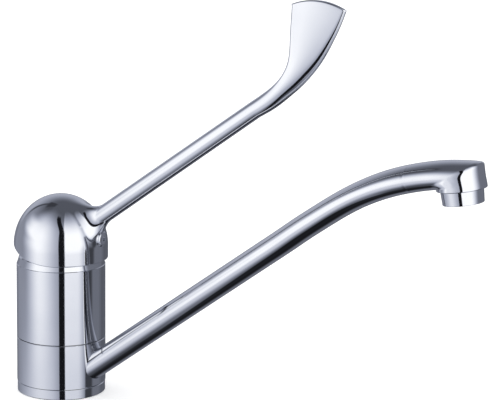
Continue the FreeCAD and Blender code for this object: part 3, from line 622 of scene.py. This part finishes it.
# ------------------------------------------------------------------ floor, light and camera


def pale_floor():
    mesh = bpy.data.meshes.new("floor")
    s = 6.0
    mesh.from_pydata([(-s, -s, 0), (s, -s, 0), (s, s, 0), (-s, s, 0)], [], [(0, 1, 2, 3)])
    obj = bpy.data.objects.new("floor", mesh)
    bpy.context.scene.collection.objects.link(obj)
    obj.location = (0, 0, -0.0002)
    m, nt, bsdf = new_material("pale_floor")
    n = noise(nt, 6.0)
    nt.links.new(two_colours(nt, n, (0.9, 0.9, 0.905), (0.93, 0.93, 0.93)), bsdf.inputs["Base Color"])
    bsdf.inputs["Roughness"].default_value = 0.9
    # lifted to the white of the background, with only a soft shadow left at the tap's foot
    bsdf.inputs["Emission Color"].default_value = (1.0, 1.0, 1.0, 1)
    bsdf.inputs["Emission Strength"].default_value = 0.30
    paint(obj, m)
    return obj


floor = pale_floor()
# the studio's own light shapes what the chrome mirrors, so the floor stays out of the reflections
floor.visible_glossy = False

AZ, EL, ROLL, DIST = math.radians(29.0), math.radians(12.617), math.radians(0.600), 1.746638
LEVEL = Vector((math.sin(AZ), -math.cos(AZ), 0))   # level direction towards the camera side
RIGHT = Vector((math.cos(AZ), math.sin(AZ), 0))


CENTRE = Vector((0.110452 * math.cos(AZ), 0.110452 * math.sin(AZ), 0.1147))


def white_world():
    world = bpy.data.worlds.new("studio")
    bpy.context.scene.world = world
    world.use_nodes = True
    back = world.node_tree.nodes["Background"]
    back.inputs["Color"].default_value = (1.0, 1.0, 1.0, 1)
    back.inputs["Strength"].default_value = 1.10


white_world()


class Maths:
    """Short names for the arithmetic nodes of one material."""

    def __init__(self, nt):
        self.nt = nt

    def put(self, sock, value):
        if isinstance(value, (int, float)):
            sock.default_value = value
        else:
            self.nt.links.new(value, sock)

    def op(self, kind, *args):
        n = self.nt.nodes.new("ShaderNodeMath")
        n.operation = kind
        for i, v in enumerate(args):
            self.put(n.inputs[i], v)
        return n.outputs[0]

    def ramp(self, x, a, b, lo=0.0, hi=1.0):
        """Smooth step from lo at a to hi at b."""
        n = self.nt.nodes.new("ShaderNodeMapRange")
        n.interpolation_type = "SMOOTHSTEP"
        if a > b:
            a, b, lo, hi = b, a, hi, lo
        for key, v in (("From Min", a), ("From Max", b), ("To Min", lo), ("To Max", hi)):
            self.put(n.inputs[key], v)
        self.nt.links.new(x, n.inputs["Value"])
        return n.outputs["Result"]

    def dot(self, sock, vec):
        n = self.nt.nodes.new("ShaderNodeVectorMath")
        n.operation = "DOT_PRODUCT"
        self.nt.links.new(sock, n.inputs[0])
        n.inputs[1].default_value = tuple(vec)
        return n.outputs["Value"]

    def times(self, *xs):
        r = xs[0]
        for x in xs[1:]:
            r = self.op("MULTIPLY", r, x)
        return r

    def over(self, under, light, level):
        """Lay a lit shape (0..1) with its level over what is under it."""
        n = self.nt.nodes.new("ShaderNodeMix")
        n.data_type = "FLOAT"
        self.put(n.inputs["Factor"], light)
        self.put(n.inputs["A"], under)
        self.put(n.inputs["B"], level)
        return n.outputs["Result"]


def light_tent():
    """Round tent of soft light that only gloss sees. Its lit shapes are laid out by
    bearing (0 = camera side, + to the right) and height, in degrees from its centre."""
    bm = bmesh.new()
    bmesh.ops.create_uvsphere(bm, u_segments=96, v_segments=48, radius=0.7)
    bmesh.ops.reverse_faces(bm, faces=bm.faces)
    mesh = bpy.data.meshes.new("light_tent")
    bm.to_mesh(mesh)
    bm.free()
    obj = bpy.data.objects.new("light_tent", mesh)
    bpy.context.scene.collection.objects.link(obj)
    obj.location = CENTRE
    m, nt, bsdf = new_material("light_tent")
    k = Maths(nt)
    ramp, over, times = k.ramp, k.over, k.times
    tc = nt.nodes.new("ShaderNodeTexCoord").outputs["Object"]
    unit = nt.nodes.new("ShaderNodeVectorMath")
    unit.operation = "NORMALIZE"
    nt.links.new(tc, unit.inputs[0])
    d = unit.outputs["Vector"]
    az = k.op("MULTIPLY", k.op("ARCTAN2", k.dot(d, RIGHT), k.dot(d, LEVEL)), 57.29578)
    el = k.op("MULTIPLY", k.op("ARCSINE", k.dot(d, (0, 0, 1))), 57.29578)
    away = k.op("ABSOLUTE", az)

    # walls: mid grey to the left, darker to the right, dimmer higher up, with a dull ceiling
    v = ramp(az, -150, 110, 0.33, 0.20)
    v = over(v, ramp(el, 24, 58), 0.10)
    v = over(v, ramp(el, 60, 68), 0.12)
    # wall straight behind, lighter low down and to the left, and the dark corner beside it
    behind = over(ramp(el, 62, 17, 0.12, 0.50), ramp(el, 10, -6), 0.25)
    v = over(v, ramp(away, 127, 137), behind)
    v = over(v, times(ramp(az, 118, 140), ramp(el, 14, -10)), 0.13)
    v = over(v, times(ramp(az, -134, -130), ramp(az, -124, -128), ramp(el, 6, 28), ramp(el, 66, 60)), 0.08)
    v = over(v, times(ramp(az, -141, -136), ramp(az, -108, -120), ramp(el, 46, 53), ramp(el, 70, 64)), 0.055)
    # left light box: brightest towards its outer end, thinning out near the camera and upwards
    turn = k.op("ADD", az, times(ramp(el, 4, 16), ramp(el, 38, 24), 18.0))
    turn = k.op("SUBTRACT", turn, ramp(el, 2, -10, 0.0, 4.0))
    box = times(ramp(turn, -106, -62), ramp(el, 78, 12), ramp(az, 6, 2))
    v = over(v, box, times(ramp(az, -8, -58, 0.50, 1.23), ramp(el, -34, -2, 0.72, 1.0)))
    # right light box, clear edge beside the gap
    turn = k.op("SUBTRACT", az, ramp(el, -10, 4, 0.0, 6.0))
    box = times(ramp(az, 0, 3), ramp(turn, 74, 38), ramp(el, 88, 20))
    v = over(v, box, times(1.27, ramp(el, -34, -4, 0.58, 1.0)))
    v = over(v, times(ramp(az, 61, 66), ramp(az, 96, 84), ramp(el, -2, -12)), 0.06)
    # below the horizon the light falls off to a dark table top
    left = times(ramp(az, -130, -88), ramp(az, -2, -40))
    v = over(v, times(left, ramp(el, -12, -32)), 0.76)
    v = over(v, times(left, ramp(el, -29, -72)), 0.10)
    v = over(v, times(k.op("SUBTRACT", 1.0, left), ramp(el, -26, -52)), 0.012)
    v = over(v, times(ramp(away, 125, 150), ramp(el, -70, -48), ramp(el, -22, -40)), 0.20)
    v = over(v, ramp(el, -72, -90), 0.02)
    # pale patch of table to the right
    v = over(v, times(ramp(az, 4, 30), ramp(az, 125, 85), ramp(el, -70, -54), ramp(el, -34, -42)), 0.50)
    # dark gap between the boxes, where the camera looks through: it leans over and widens upwards
    mid = ramp(el, 28, 80, -4.2, -33.0)
    half = ramp(el, 28, 70, 7.4, 10.0)
    off = k.op("DIVIDE", k.op("ABSOLUTE", k.op("SUBTRACT", az, mid)), half)
    v = over(v, times(ramp(off, 1.12, 0.90), ramp(el, 70, 62), ramp(el, -62, -50)), 0.010)

    tint = nt.nodes.new("ShaderNodeMix")
    tint.data_type = "RGBA"
    tint.inputs["A"].default_value = (0.88, 0.93, 1.12, 1)
    tint.inputs["B"].default_value = (1.0, 1.0, 1.0, 1)
    nt.links.new(ramp(v, 0.2, 1.4), tint.inputs["Factor"])
    e = nt.nodes.new("ShaderNodeEmission")
    nt.links.new(tint.outputs["Result"], e.inputs["Color"])
    nt.links.new(v, e.inputs["Strength"])
    nt.links.new(e.outputs[0], nt.nodes["Material Output"].inputs["Surface"])
    paint(obj, m)
    obj.visible_camera = obj.visible_diffuse = obj.visible_shadow = False
    obj.visible_transmission = obj.visible_volume_scatter = False


light_tent()

camera = bpy.data.cameras.new("camera")
camera.lens = 216.0
camera.sensor_width = 36.0
camera.clip_start = 0.05
camera.clip_end = 50.0
cam = bpy.data.objects.new("camera", camera)
bpy.context.scene.collection.objects.link(cam)
aim = Vector((0.110452 * math.cos(AZ), 0.110452 * math.sin(AZ), 0.114662))
right = Vector((math.cos(AZ), math.sin(AZ), 0))
back = Vector((math.sin(AZ) * math.cos(EL), -math.cos(AZ) * math.cos(EL), math.sin(EL)))
up = back.cross(right)
r2 = right * math.cos(ROLL) + up * math.sin(ROLL)
u2 = up * math.cos(ROLL) - right * math.sin(ROLL)
cam.matrix_world = Matrix(((r2.x, u2.x, back.x, 0), (r2.y, u2.y, back.y, 0), (r2.z, u2.z, back.z, 0), (0, 0, 0, 1)))
# half a pixel, so that pixel centres fall where they do in the picture
cam.location = aim + back * DIST - r2 * (0.5 * DIST / 3000.0) + u2 * (0.5 * DIST / 3000.0)
bpy.context.scene.camera = cam

bpy.context.scene.view_settings.view_transform = "Standard"
